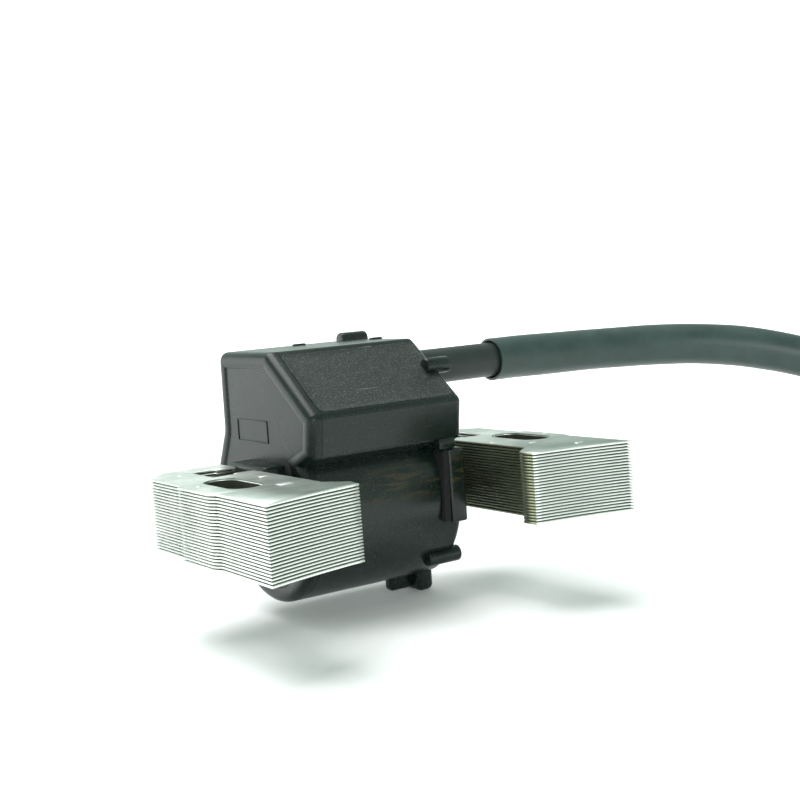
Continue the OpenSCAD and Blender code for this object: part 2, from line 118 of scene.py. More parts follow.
# Rounded blocks on the case: lowest corner, highest corner and rounding
CASE_BLOCKS = (
    ((12.9, DRUM_Y - 17.2, -0.94), (16.3, DRUM_Y - 9.2, 12.56), 0.5),       # flange plate
    ((13.1, 35.0, FLOOR_Z), (16.7, 41.0, -6.0), 1.3),                       # foot
    ((8.3, 37.4, FLOOR_Z + 0.6), (14.3, 40.0, -8.0), 0.9),                  # the foot's web
    ((-1.6, 49.5, HOUSE_TOP - 0.5), (1.0, 50.6, HOUSE_TOP + 0.35), 0.25),   # marks on the top
    ((12.6, 44.6, HOUSE_TOP - 0.5), (15.2, 45.6, HOUSE_TOP + 0.35), 0.25))

# The plain rectangle on the end wall, as four raised lines: lowest and highest Y and Z
RECTANGLE = (((37.4, 16.2), (48.8, 16.45)), ((37.4, 20.05), (48.8, 20.3)),
             ((37.4, 16.2), (37.65, 20.3)), ((48.55, 16.2), (48.8, 20.3)))

# Outline in Y and Z of the dark pad of painted shade over the crossbar's joint, anticlockwise
SHADE_PAD = np.array([[29.8, 6.0], [47.6, 6.0], [47.8, 11.9], [46.9, 12.6], [44, 12.6], [40, 12.7],
                 [35.5, 13.6], [32.2, 14.2], [30.2, 13.6]])

# The lead's centreline, in metres: out of the module along +X, forwards and down through the
# air, then round on the surface to the plug cap.
ROUTE = [
    (0.0146, 0.0165, 0.0415), (0.023, 0.0165, 0.0415), (0.029, 0.0165, 0.0415),
    (0.0355, 0.0165, 0.0415), (0.042, 0.0165, 0.0415), (0.0495, 0.0162, 0.0415),
    (0.057, 0.0152, 0.0414), (0.0645, 0.0135, 0.0414), (0.072, 0.0112, 0.0413),
    (0.079, 0.0082, 0.0412), (0.0855, 0.0048, 0.0409), (0.0905, 0.0016, 0.0404),
    (0.0955, -0.0019, 0.0396), (0.1, -0.0058, 0.0384), (0.1045, -0.01, 0.0368),
    (0.1085, -0.0146, 0.0348), (0.113, -0.02, 0.0316), (0.1178, -0.0256, 0.0276),
    (0.1224, -0.031, 0.0232), (0.127, -0.0365, 0.0187), (0.133, -0.042, 0.014),
    (0.1403, -0.046, 0.0099), (0.1483, -0.0483, 0.0068), (0.1566, -0.0485, 0.0048),
    (0.1646, -0.0466, 0.0038), (0.172, -0.0428, 0.0036), (0.1783, -0.0374, 0.0042),
    (0.183, -0.0306, 0.0058), (0.186, -0.0224, 0.0078), (0.187, -0.014, 0.009),
    (0.187, 0.0, 0.009),
]
SLEEVE_FROM = 4             # points of the route where the sleeve starts and ends
SLEEVE_TO = 21
PATH_STEPS = 6              # points that smooth_path adds in each span of the route


# ------------------------------------------------------------------ colours and settings
def linear(hex_colour):
    """An sRGB hex colour as linear red, green, blue and 1."""
    c = np.array([int(hex_colour[i:i + 2], 16) for i in (1, 3, 5)]) / 255
    c = np.where(c <= 0.04045, c / 12.92, ((c + 0.055) / 1.055) ** 2.4)
    return (*map(float, c), 1.0)


class COIL_PG_settings(bpy.types.PropertyGroup):
    """Sizes and colours of the coil's finishes."""

    rim: bpy.props.FloatProperty(
        name="Rim", description="Radius of the module's rounded end rims",
        default=1.5 * MM, min=0.5 * MM, max=2.0 * MM, unit="LENGTH")
    sheet_round: bpy.props.FloatProperty(
        name="Sheet rounding", description="Rounding of each lamination's edges",
        default=0.11 * MM, min=0.02 * MM, max=0.2 * MM, unit="LENGTH")
    plastic: bpy.props.FloatVectorProperty(
        name="Module plastic", description="Colour of the moulded case",
        default=linear("#071411")[:3], min=0, max=1, size=3, subtype="COLOR")
    lead: bpy.props.FloatVectorProperty(
        name="Lead", description="Colour of the lead's insulation",
        default=linear("#1e2724")[:3], min=0, max=1, size=3, subtype="COLOR")
    sleeve: bpy.props.FloatVectorProperty(
        name="Sleeve", description="Colour of the protective sleeve",
        default=linear("#2d3d3a")[:3], min=0, max=1, size=3, subtype="COLOR")
    floor: bpy.props.FloatProperty(
        name="Floor", description="Width of the pale floor",
        default=12.0, min=1, max=40, unit="LENGTH")


def settings():
    """The scene's coil settings."""
    return bpy.context.scene.coil_settings


# ------------------------------------------------------------------ outlines
def arc(centre, radius, start, end, steps):
    """Points c + r (cos a, sin a) for steps + 1 even angles from start to end, in degrees."""
    a = np.radians(np.linspace(start, end, steps + 1))
    return np.asarray(centre) + radius * np.stack([np.cos(a), np.sin(a)], 1)


def offset_corners(p, d):
    """Each corner b of an anticlockwise outline moved to b + 2 d m / (m . m), where m is the sum
    of its two sides' inward normals, so every side moves inwards by d."""
    e = np.roll(p, -1, 0) - p
    e /= np.linalg.norm(e, axis=1)[:, None]
    n = np.stack([-e[:, 1], e[:, 0]], 1)
    m = n + np.roll(n, 1, 0)
    return p + 2 * d * m / (m * m).sum(1)[:, None]


def round_corner(a, b, c, r, steps=6):
    """Arc of radius r that touches both sides of corner b: its centre is r / sin(half) along the
    bisector, and its ends are r / tan(half) along the sides."""
    u = (a - b) / np.linalg.norm(a - b)
    v = (c - b) / np.linalg.norm(c - b)
    half = math.acos(np.clip(u @ v, -1, 1)) / 2
    m = (u + v) / np.linalg.norm(u + v)
    centre = b + m * r / math.sin(half)
    s = b + u * r / math.tan(half) - centre
    e = b + v * r / math.tan(half) - centre
    t = np.linspace(0, 1, steps + 1)[:, None]
    w = s * (1 - t) + e * t
    return centre + r * w / np.linalg.norm(w, axis=1)[:, None]


# The upper part's corners before it meets the round lower part, anticlockwise from the ledge
HOUSE = np.array([
    [HOUSE_FRONT + 1.1, LIP_Z], [DRUM_Y, LIP_Z - 8], [DRUM_Y + 12, STACK_H - 12],
    [MODULE_BACK - 1, STACK_H - 10], [MODULE_BACK, STACK_H - 2.5],
    [HOUSE_BACK + 0.4, STACK_H + 5.5], [HOUSE_BACK, HOUSE_TOP],
    [HOUSE_BACK - TOP_DEPTH, HOUSE_TOP], [HOUSE_FRONT, SLOPE_Z]])
HOUSE_R = [1.1, 0, 0, 1.8, 1.8, 3.0, 1.9, 1.3, 1.5]
HOLLOW_CORNER = 5           # the one corner of HOUSE that turns outwards
LEAST_R = 0.15


def line_meets_circle(p, q, centre, radius, far):
    """Where the line p + t (q - p) meets a circle: the roots of its quadratic in t."""
    d, f = q - p, p - centre
    a, b, c = d @ d, 2 * f @ d, f @ f - radius * radius
    root = math.sqrt(b * b - 4 * a * c)
    return p + d * ((-b + (root if far else -root)) / (2 * a))


def module_section(inset=0.0):
    """The module's outline in Y and Z, anticlockwise: the round lower part joined to the upper
    part's straight sides. Every inset gives the same number of points."""
    p = offset_corners(HOUSE, inset)
    c, r = np.array([DRUM_Y, DRUM_Z]), DRUM_R - inset
    front = line_meets_circle(p[0], p[1], c, r, False)
    back = line_meets_circle(p[2], p[3], c, r, True)
    a0 = math.degrees(math.atan2(*(front - c)[::-1])) % 360
    a1 = math.degrees(math.atan2(*(back - c)[::-1])) % 360
    if a1 < a0:
        a1 += 360
    parts = [arc(c, r, a0, a1, 72)]
    for i in range(3, 9):
        grow = inset if i == HOLLOW_CORNER else -inset
        parts.append(round_corner(p[i - 1], p[i], p[(i + 1) % 9],
                                  max(HOUSE_R[i] + grow, LEAST_R)))
    parts.append(round_corner(p[8], p[0], front, max(HOUSE_R[0] - inset, LEAST_R)))
    return np.concatenate(parts)


# ------------------------------------------------------------------ meshes
def place(points):
    """Section millimetres (X, Y, Z) to metres in the frame."""
    return np.asarray(points, float) * MM + BASE


def make_mesh(name, verts, faces, smooth=35.0, body="module", stands_for=(), slot=None):
    """Puts arrays of vertices, in metres, and faces into a new piece, smooth below an angle in
    degrees, that rides on a body of the frame."""
    mesh = bpy.data.meshes.new(name)
    mesh.from_pydata(np.asarray(verts).tolist(), [], [list(map(int, f)) for f in faces])
    if mesh.validate():
        raise RuntimeError("the mesh of " + name + " has bad faces")
    mesh.polygons.foreach_set("use_smooth", np.ones(len(mesh.polygons), bool))
    mesh.set_sharp_from_angle(angle=math.radians(smooth))
    mesh.update()
    piece = bpy.data.objects.new(name, mesh)
    bpy.context.scene.collection.objects.link(piece)
    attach(piece, body)
    if stands_for:
        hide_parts(*stands_for)
    return piece


def strip(rings, count, first=0):
    """Quads between each ring of count points and the next, as index rows."""
    i = np.arange(count)
    j = (i + 1) % count
    quads = []
    for k in range(rings - 1):
        a, b = first + k * count, first + (k + 1) * count
        quads.append(np.stack([a + i, a + j, b + j, b + i], 1))
    return np.concatenate(quads)


def along_x(outlines, stations):
    """Rings of outlines (Y, Z) at the stations X, stacked as one array of points."""
    return np.concatenate([np.column_stack([np.full(len(o), x), o])
                           for o, x in zip(outlines, stations)])


def cap_faces(loops, firsts, flip):
    """Triangles that fill the first loop around the others, where loop k's points start at
    index firsts[k]."""
    flat = [[(p[0], p[1], 0.0) for p in loop] for loop in loops]
    index = np.concatenate([first + np.arange(len(loop)) for first, loop in zip(firsts, loops)])
    xy = np.concatenate(loops)
    faces = []
    for t in tessellate_polygon(flat):
        a, b, c = (xy[k] for k in t)
        area = (b[0] - a[0]) * (c[1] - a[1]) - (c[0] - a[0]) * (b[1] - a[1])
        t = t if (area > 0) != flip else t[::-1]
        faces.append([index[k] for k in t])
    return faces


def join(parts):
    """Joins (vertices, faces) pairs into one pair."""
    verts, faces, n = [], [], 0
    for v, f in parts:
        verts.append(v)
        faces += [[n + int(k) for k in q] for q in f]
        n += len(v)
    return np.concatenate(verts), faces


def rod(path, radii, sides=32, close=True):
    """A tube: at path point p with tangent t, a ring p + r (cos a s + sin a u), where s is level
    and square to t and u = s x t. Its ends are closed by fans."""
    p = np.asarray(path, float)
    r = np.broadcast_to(np.asarray(radii, float), len(p))
    t = np.gradient(p, axis=0)
    t /= np.linalg.norm(t, axis=1)[:, None]
    s = np.cross(t, [0.0, 0.0, 1.0])
    s /= np.linalg.norm(s, axis=1)[:, None]
    u = np.cross(s, t)
    a = np.linspace(0, 2 * math.pi, sides, endpoint=False)
    ring = np.cos(a)[None, :, None] * s[:, None] + np.sin(a)[None, :, None] * u[:, None]
    v = (p[:, None] + r[:, None, None] * ring).reshape(-1, 3)
    f = [q[::-1] for q in strip(len(p), sides).tolist()]
    if close:
        n = len(v)
        v = np.concatenate([v, p[:1], p[-1:]])
        k = np.arange(sides)
        j = (k + 1) % sides
        last = (len(p) - 1) * sides
        f += np.stack([np.full(sides, n), k, j], 1).tolist()
        f += np.stack([np.full(sides, n + 1), last + j, last + k], 1).tolist()
    return v, f


def turned(profile, origin, axis, sides=64, closed=True):
    """A turned shape: profile rows are (distance along the axis, radius), carried round it. A
    closed one joins its last row to its first."""
    axis = np.asarray(axis, float)
    s = np.cross(axis, [0.0, 0.0, 1.0]) if abs(axis[2]) < 0.9 else np.array([1.0, 0.0, 0.0])
    s /= np.linalg.norm(s)
    u = np.cross(s, axis)
    a = np.linspace(0, 2 * math.pi, sides, endpoint=False)
    ring = np.cos(a)[:, None] * s + np.sin(a)[:, None] * u
    v = [np.asarray(origin) + d * axis + r * ring for d, r in profile]
    f = [q[::-1] for q in strip(len(profile), sides).tolist()]
    if closed:
        last = (len(profile) - 1) * sides
        k = np.arange(sides)
        j = (k + 1) % sides
        f += np.stack([last + j, j, k, last + k], 1).tolist()
    return np.concatenate(v), f


def rounded_block(low, high, r, lean=0.0, steps=3):
    """A block with rounded edges: each direction d of a gridded cube, made unit length, gives the
    point sign(d) (half size - r) + r d from the middle. Points that meet are merged. A lean moves
    each point along X by that share of its height over the bottom."""
    low, high = np.asarray(low, float), np.asarray(high, float)
    r = min(r, 0.49 * (high - low).min())
    t = np.tan(np.linspace(-1, 1, 2 * steps) * math.pi / 4)
    a, b = (g.ravel() for g in np.meshgrid(t, t, indexing="ij"))
    grid = np.arange(4 * steps * steps).reshape(2 * steps, 2 * steps)
    quad = np.stack([grid[:-1, :-1], grid[1:, :-1], grid[1:, 1:], grid[:-1, 1:]], -1).reshape(-1, 4)
    verts, faces = [], []
    for axis in range(3):
        for sign in (-1.0, 1.0):
            d = np.empty((len(a), 3))
            d[:, axis], d[:, (axis + 1) % 3], d[:, (axis + 2) % 3] = sign, a, b
            faces.append((quad if sign > 0 else quad[:, ::-1]) + len(verts) * len(a))
            verts.append(d)
    d = np.concatenate(verts)
    p = np.sign(d) * ((high - low) / 2 - r) + r * d / np.linalg.norm(d, axis=1)[:, None]
    p += (low + high) / 2
    p[:, 0] += lean * (p[:, 2] - low[2])
    kept, index = np.unique(np.round(p, 5), axis=0, return_inverse=True)
    return kept, index.ravel()[np.concatenate(faces)].tolist()


def lug(x0, x1, y, z, r):
    """A short mould lug: a rod along X whose ends are rounded by a quarter circle of 0.4 mm."""
    e = 0.4
    turn = np.linspace(0, math.pi / 2, 4)
    profile = [(0.0, 0.02)] + [(e * (1 - math.cos(t)), r - e + e * math.sin(t)) for t in turn]
    profile += [(x1 - x0 - d, q) for d, q in profile[::-1]]
    return turned(profile, (x0, y, z), (1, 0, 0), 40, closed=False)


def smooth_path(points, per_step):
    """Catmull-Rom curve through the points: each span is a cubic whose end slopes are half the
    chord between the points beside it."""
    p = np.asarray(points, float)
    q = np.concatenate([[2 * p[0] - p[1]], p, [2 * p[-1] - p[-2]]])
    t = np.linspace(0, 1, per_step, endpoint=False)[:, None]
    spans = []
    for i in range(1, len(q) - 2):
        a, b, c, d = q[i - 1], q[i], q[i + 1], q[i + 2]
        spans.append(0.5 * (2 * b + (c - a) * t + (2 * a - 5 * b + 4 * c - d) * t ** 2
                            + (3 * b - a - 3 * c + d) * t ** 3))
    return np.concatenate(spans + [p[-1:]])


# ------------------------------------------------------------------ materials
def add(tree, kind, inputs=(), **values):
    """Adds a node: values are its own settings, and inputs pairs a socket with a number, a
    colour or another node's output."""
    made = tree.nodes.new(kind)
    for key, value in values.items():
        setattr(made, key, value)
    for socket, value in dict(inputs).items():
        if isinstance(value, bpy.types.NodeSocket):
            tree.links.new(value, made.inputs[socket])
        else:
            made.inputs[socket].default_value = value
    return made


def new_material(name):
    """An empty material with its output: returns the material, its tree and Object coordinates."""
    material = bpy.data.materials.new(name)
    material.use_nodes = True
    tree = material.node_tree
    tree.nodes.clear()
    where = add(tree, "ShaderNodeTexCoord").outputs["Object"]
    return material, tree, where


def finish_material(tree, **inputs):
    """Adds the shader, whose sockets are named with _ for a space, and the output."""
    sockets = {name.replace("_", " "): value for name, value in inputs.items()}
    shader = add(tree, "ShaderNodeBsdfPrincipled", sockets)
    add(tree, "ShaderNodeOutputMaterial", {"Surface": shader.outputs["BSDF"]})


def ramp(tree, fac, stops):
    """A colour ramp with the given (place, colour) stops; returns its colour output."""
    made = add(tree, "ShaderNodeValToRGB", {"Fac": fac})
    while len(made.color_ramp.elements) < len(stops):
        made.color_ramp.elements.new(0.5)
    for element, (at, colour) in zip(made.color_ramp.elements, stops):
        element.position = at
        element.color = colour
    return made.outputs["Color"]


def grey(v):
    """A grey with alpha 1."""
    return (v, v, v, 1.0)


def noise(tree, where, scale, detail=4.0, rough=0.6):
    """Fractal noise with features about 1 / scale metres across."""
    return add(tree, "ShaderNodeTexNoise", {
        "Vector": where, "Scale": scale, "Detail": detail, "Roughness": rough}).outputs["Fac"]


def streaks(tree, where, scale, detail):
    """Noise drawn out along one axis: its features are 1 / scale metres in X, Y and Z."""
    stretched = add(tree, "ShaderNodeMapping", {"Vector": where, "Scale": scale})
    return add(tree, "ShaderNodeTexNoise", {
        "Vector": stretched.outputs["Vector"], "Scale": 1.0, "Detail": detail}).outputs["Fac"]


def mixed(tree, share, under, over):
    """The colour over laid on the colour under by a share."""
    return add(tree, "ShaderNodeMix", {"Factor": share, "A": under, "B": over},
               data_type="RGBA").outputs["Result"]


def roughened(tree, height, strength, distance, **inputs):
    """A bump normal from a height pattern, distance millimetres deep."""
    return add(tree, "ShaderNodeBump", {"Height": height, "Strength": strength,
                                        "Distance": distance * MM, **inputs}).outputs["Normal"]


def two_tones(colour, low, high):
    """Ramp stops of one colour made darker and lighter by two factors."""
    return [(0.3, (*(low * c for c in colour[:3]), 1.0)),
            (0.7, (*(high * c for c in colour[:3]), 1.0))]


def moulded_plastic(name, colour, rough=(0.34, 0.46), grain=0.02, specks=0.0, dust=0.0,
                    scratches=0.0, film=0.0, shine=0.38):
    """Glass-filled nylon, injection moulded: near black with a faint green cast, satin, with an
    uneven fine grain and a little pale dust in the hollows of the grain."""
    material, tree, where = new_material(name)
    cloud = noise(tree, where, 90.0)
    tone = ramp(tree, cloud, two_tones(colour, 0.8, 1.3))
    fine = noise(tree, where, 4200.0, 3.0, 0.7)
    if dust:
        # Dust and mould-release specks about 0.2 mm across
        spots = noise(tree, where, 5200.0, 2.0, 0.55)
        tone = mixed(tree, ramp(tree, spots, [(0.57, grey(0.0)), (0.70, grey(dust))]), tone,
                     linear("#8f9a94"))
    finish = ramp(tree, cloud, [(0.25, grey(rough[0])), (0.75, grey(rough[1]))])
    bump = roughened(tree, fine, 0.35, grain)
    if film:
        # A brown film of dried resin that ran out under the ledge, broken into streaks along X
        height = add(tree, "ShaderNodeSeparateXYZ", {"Vector": where}).outputs["Z"]
        band = ramp(tree, height, [(0.0222, grey(0.0)), (0.0252, grey(film)),
                                   (0.0266, grey(film)), (0.0274, grey(0.0))])
        streak = ramp(tree, streaks(tree, where, (150, 900, 900), 4.0),
                      [(0.5, grey(0.0)), (0.62, grey(1.0))])
        share = add(tree, "ShaderNodeMath", {0: band, 1: streak},
                    operation="MULTIPLY").outputs["Value"]
        tone = mixed(tree, share, tone, linear("#7a6434"))
    if scratches:
        # Short rubbed lines along X, 9 mm long and 0.4 mm wide
        rub = streaks(tree, where, (110, 2600, 2600), 2.0)
        tone = mixed(tree, ramp(tree, rub, [(0.70, grey(0.0)), (0.78, grey(scratches))]), tone,
                     linear("#a9b3ae"))
    if specks:
        # Coarser casting grain, about 0.7 mm across
        bump = roughened(tree, noise(tree, where, 1500.0, 5.0, 0.75), 0.6, specks, Normal=bump)
    finish_material(tree, Base_Color=tone, Roughness=finish, Normal=bump, IOR=1.5,
                    Specular_IOR_Level=shine)
    return material


def lamination_steel(name, tint, light="#f0f2ee", drawn=0.0, painted_shade=0.0):
    """Silicon steel sheet, punched and lightly varnished: bright sheared edges, and satin rolled
    faces with faint rolling lines and stains of varnish; painted_shade darkens the faces towards
    the pole tips as painted shade."""
    material, tree, where = new_material(name)
    # Rolling lines run along Y, about 0.3 mm apart
    lines = streaks(tree, where, (3000, 90, 90), 3.0)
    stain = noise(tree, where, 120.0, 5.0, 0.65)
    base = ramp(tree, stain, [(0.3, linear(tint)), (0.72, linear(light))])
    if painted_shade:
        # Painted shade: grey-green mixed into the rolled faces more and more towards the pole tips,
        # where they reflect less of the bright back
        near = add(tree, "ShaderNodeSeparateXYZ", {"Vector": where}).outputs["Y"]
        share = add(tree, "ShaderNodeMapRange", {
            "Value": near, "From Min": 0.004, "From Max": -0.018, "To Min": 0.0,
            "To Max": painted_shade}).outputs["Result"]
        base = mixed(tree, share, base, linear("#8f9c95"))
    tone = mixed(tree, ramp(tree, lines, [(0.3, grey(0.0)), (0.75, grey(drawn))]), base,
                 linear("#a4aaa6"))
    finish = ramp(tree, stain, [(0.3, grey(0.34)), (0.7, grey(0.44))])
    finish_material(tree, Base_Color=tone, Metallic=1.0, Roughness=finish)
    return material


def gap_shade(name):
    """Painted shade between the sheets: dull, near black, and seen only as the lines between them.
    """
    material, tree, where = new_material(name)
    tone = ramp(tree, noise(tree, where, 300.0), [(0.3, linear("#14170f")),
                                                  (0.7, linear("#2b2f24"))])
    finish_material(tree, Base_Color=tone, Roughness=0.75)
    return material


def rubber(name, colour, rough=0.55, grain=0.012):
    """Extruded synthetic rubber: dark and satin, cloudy, with a fine matte grain."""
    material, tree, where = new_material(name)
    cloud = noise(tree, where, 220.0)
    tone = ramp(tree, cloud, two_tones(colour, 0.85, 1.2))
    fine = noise(tree, where, 5200.0, 2.0)
    finish = ramp(tree, cloud, [(0.3, grey(rough - 0.06)), (0.7, grey(rough + 0.08))])
    finish_material(tree, Base_Color=tone, Roughness=finish, IOR=1.5, Specular_IOR_Level=0.4,
                    Normal=roughened(tree, fine, 0.3, grain))
    return material


def plated_metal(name, hex_colour, rough=0.25):
    """Plated or plain metal: an even colour, dulled in 2 mm patches by handling."""
    material, tree, where = new_material(name)
    cloud = noise(tree, where, 500.0)
    finish = ramp(tree, cloud, [(0.3, grey(rough)), (0.75, grey(rough + 0.18))])
    finish_material(tree, Base_Color=linear(hex_colour), Metallic=1.0, Roughness=finish)
    return material


def coated(name, dark, light, rough=0.4, scale=600.0):
    """A painted, moulded or baked surface: two close tones in patches of 1 / scale metres."""
    material, tree, where = new_material(name)
    tone = ramp(tree, noise(tree, where, scale), [(0.35, linear(dark)), (0.65, linear(light))])
    finish_material(tree, Base_Color=tone, Roughness=rough)
    return material


def paint(piece, *materials):
    """Gives a piece its materials in order."""
    piece.data.materials.clear()
    for material in materials:
        piece.data.materials.append(material)


def paint_node(node, material):
    """Gives a carried-over part its material."""
    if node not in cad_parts:
        raise RuntimeError("the frame has no part named " + node)
    paint(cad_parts[node], material)


def set_place(thing, x_axis, y_axis, z_axis, at):
    """Stands a camera or lamp at a place with the given axes."""
    matrix = np.eye(4)
    matrix[:3] = np.stack([x_axis, y_axis, z_axis, at], 1)
    thing.matrix_world = Matrix(matrix.tolist())


# ------------------------------------------------------------------ stage
def add_floor():
    """A flat square that the object stands on."""
    half = settings().floor / 2
    mesh = bpy.data.meshes.new("floor")
    mesh.from_pydata([(-half, -half, 0), (half, -half, 0), (half, half, 0), (-half, half, 0)],
                     [], [(0, 1, 2, 3)])
    floor = bpy.data.objects.new("floor", mesh)
    bpy.context.scene.collection.objects.link(floor)
    material, tree, where = new_material("white_sweep")
    # Lit from below more and more away from the object, so that it has no horizon
    away = add(tree, "ShaderNodeVectorMath", {0: where}, operation="LENGTH").outputs["Value"]
    glow = add(tree, "ShaderNodeMapRange", {
        "Value": away, "From Min": 0.12, "From Max": 0.7, "To Min": 0.03,
        "To Max": 0.8}).outputs["Result"]
    finish_material(tree, Base_Color=grey(0.88), Roughness=0.6, Specular_IOR_Level=0.2,
                    Emission_Color=grey(1.0), Emission_Strength=glow)
    paint(floor, material)


def add_world():
    """Soft white room: full at the horizon and dimmer overhead; white where it is seen."""
    bpy.context.scene.view_settings.view_transform = "Standard"
    world = bpy.data.worlds.new("soft_room")
    bpy.context.scene.world = world
    world.use_nodes = True
    tree = world.node_tree
    tree.nodes.clear()
    where = add(tree, "ShaderNodeTexCoord").outputs["Generated"]
    height = add(tree, "ShaderNodeSeparateXYZ", {"Vector": where}).outputs["Z"]
    share = add(tree, "ShaderNodeMapRange", {
        "Value": height, "From Min": 0.1, "From Max": 0.8, "To Min": 1.05,
        "To Max": 0.5}).outputs["Result"]
    seen = add(tree, "ShaderNodeLightPath").outputs["Is Camera Ray"]
    strength = add(tree, "ShaderNodeMix", {"Factor": seen, "A": share, "B": 1.4},
                   data_type="FLOAT").outputs["Result"]
    back = add(tree, "ShaderNodeBackground", {"Color": linear("#ecfff6"), "Strength": strength})
    add(tree, "ShaderNodeOutputWorld", {"Surface": back.outputs["Background"]})


def add_lamps():
    """Large soft lamps, each aimed at the module: (name, place in metres, size, watts)."""
    for name, at, size, power in (
            ("lamp_back_left", (-0.80, 1.15, 0.26), 0.70, 2.4),
            ("lamp_above", (-0.15, 0.35, 1.15), 1.0, 21.0),
            ("lamp_front", (-0.45, -0.85, 0.35), 0.5, 3.0)):
        data = bpy.data.lights.new(name, "AREA")
        data.size = size
        data.energy = power
        lamp = bpy.data.objects.new(name, data)
        bpy.context.scene.collection.objects.link(lamp)
        ahead = -np.array(at)
        ahead /= np.linalg.norm(ahead)
        level = np.cross(ahead, [0, 0, 1.0])
        level /= np.linalg.norm(level)
        set_place(lamp, level, np.cross(level, ahead), -ahead, at)


def add_camera():
    """A camera in front of the left leg, turned to the right, a little down and rolled."""
    azimuth, elevation, roll = (math.radians(a) for a in (33.81, 5.261, -4.186))
    ahead = np.array([math.cos(elevation) * math.sin(azimuth),
                      math.cos(elevation) * math.cos(azimuth), -math.sin(elevation)])
    level = np.array([math.cos(azimuth), -math.sin(azimuth), 0.0])
    above = np.cross(level, ahead)
    side = math.cos(roll) * level + math.sin(roll) * above
    up = -math.sin(roll) * level + math.cos(roll) * above
    camera = bpy.data.objects.new("camera", bpy.data.cameras.new("camera"))
    bpy.context.scene.collection.objects.link(camera)
    set_place(camera, side, up, -ahead, (-0.12383, -0.19687, 0.05931))
    camera.data.lens = 59.07
    camera.data.sensor_width = 36.0
    camera.data.clip_start = 0.005
    camera.data.clip_end = 50.0
    bpy.context.scene.camera = camera


# ------------------------------------------------------------------ shapes of the pieces
def sleeve_wall(path, sides=48):
    """A tube wall: an outer skin whose radius swells a little where it was drawn over the lead,
    r = R + 0.05 sin 9s sin 23s - 0.05 with s from 0 to 1 along it, and a plain inner skin, joined
    by flat lips."""
    n = len(path)
    s = np.linspace(0, 1, n)
    outer = (SLEEVE_R + 0.05 * np.sin(9 * s) * np.sin(23 * s) - 0.05) * MM
    v0, f0 = rod(path, outer, sides, close=False)
    v1, f1 = rod(path, np.full(n, SLEEVE_BORE_R * MM), sides, close=False)
    k = np.arange(sides)
    j = (k + 1) % sides
    m = n * sides
    last = (n - 1) * sides
    faces = list(f0) + [[q + m for q in quad[::-1]] for quad in f1]
    faces += np.stack([k, j, m + j, m + k], 1).tolist()
    faces += np.stack([last + j, last + k, m + last + k, m + last + j], 1).tolist()
    return np.concatenate([v0, v1]), faces


def leg_outline(side):
    """A leg's outline on the +X side, anticlockwise: pole face on the circle
    y = sqrt(R^2 - x^2) - sqrt(R^2 - tip^2), shoulder fillet, step, back, socket for the
    crossbar's headed tongue, neck and lip."""
    tip = SHOULDER_X - 0.6
    inner = INNER_X[side]
    lip = tip - POLE_W
    face_x = np.linspace(lip, tip, POLE_STEPS + 1)
    face = np.stack([face_x, np.sqrt(POLE_R ** 2 - face_x ** 2)
                     - math.sqrt(POLE_R ** 2 - tip * tip)], 1)
    y0, y1 = BAR_Y - TONGUE_W / 2, BAR_Y + TONGUE_W / 2
    h0, h1 = BAR_Y - HEAD_W / 2, BAR_Y + HEAD_W / 2
    x_head, x_end = inner + TONGUE_IN - HEAD_LEN, inner + TONGUE_IN
    return np.concatenate([
        face, [[tip - 0.2, 15.6]], arc((SHOULDER_X - 3, 18.6), 3, -40, 0, 6),
        [[SHOULDER_X, 29.2], [SHOULDER_X - 1.2, 30.3], [SHOULDER_X - 1.2, LEG_DEPTH - 4.7],
         [SHOULDER_X - 5.5, LEG_DEPTH], [inner, LEG_DEPTH],
         [inner, y1], [x_head, y1], [x_head, h1], [x_end, h1],
         [x_end, h0], [x_head, h0], [x_head, y0], [inner, y0],
         [inner, 11.4], [lip + 0.4, 8.4], [lip - 0.3, 7.4]]])


def bolt_slot(side):
    """A bolt slot's outline on the +X side, anticlockwise: two half circles."""
    r, half = SLOT_W / 2, (SLOT_LEN - SLOT_W) / 2
    return np.concatenate([arc((SLOT_X[side], SLOT_Y + half), r, 0, 180, 14),
                           arc((SLOT_X[side], SLOT_Y - half), r, 180, 360, 14)])


def sheet_rows(edge):
    """Each sheet's (height, inset) rings from its bottom face to its top face: its edge goes
    straight up between two roundings. The outermost faces keep the stack's full height."""
    rows = []
    for k in range(SHEETS):
        low, high = k * PITCH + SHEET_GAP, k * PITCH + SHEET_T - SHEET_GAP
        rows.append([(low, edge), (low + edge, 0.0), (high - edge, 0.0), (high, edge)])
    rows[0][:2] = [(0.0, edge), (edge, 0.0)]
    rows[-1][2:] = [(STACK_H - edge, 0.0), (STACK_H, edge)]
    return rows


